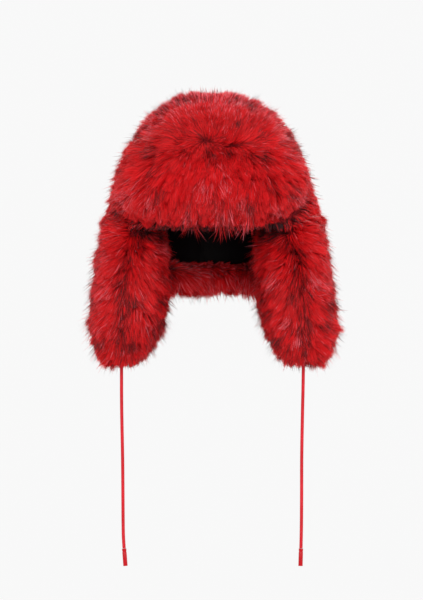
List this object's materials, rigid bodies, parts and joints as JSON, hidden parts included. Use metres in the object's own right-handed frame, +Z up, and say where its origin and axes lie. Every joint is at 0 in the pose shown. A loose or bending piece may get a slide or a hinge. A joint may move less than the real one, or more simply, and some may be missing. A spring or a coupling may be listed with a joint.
{
  "type": "faux-fur trapper hat",
  "caption": "Warm hat with a lined crown, a turned-up front flap, ear flaps and a nape flap of deep fur, and thin tie cords with crimped tips.",
  "frame": {"origin": "the top of the lining's inside, where the hat rests on the crown of the head", "axes": "+Z up, -Y to the front of the hat, +X to its right-hand side as seen from the front"},
  "size_m": [0.2846, 0.2999, 0.5424],
  "materials": {
    "faux_fur": "deep red acrylic fur with dark-tipped guard hairs",
    "lining": "near-black satin lining",
    "tie_cord": "round red cord with a soft gloss",
    "cord_tip": "smooth red plastic"
  },
  "bodies": {
    "root": {"crown_lining": "lining", "crown_fur": "faux_fur", "front_flap": "faux_fur", "ear_flap_left": "faux_fur", "ear_flap_right": "faux_fur", "nape_flap": "faux_fur", "tie_cord_left": "tie_cord", "tie_cord_right": "tie_cord", "cord_tip_left": "cord_tip", "cord_tip_right": "cord_tip"}
  },
  "joints": []
}
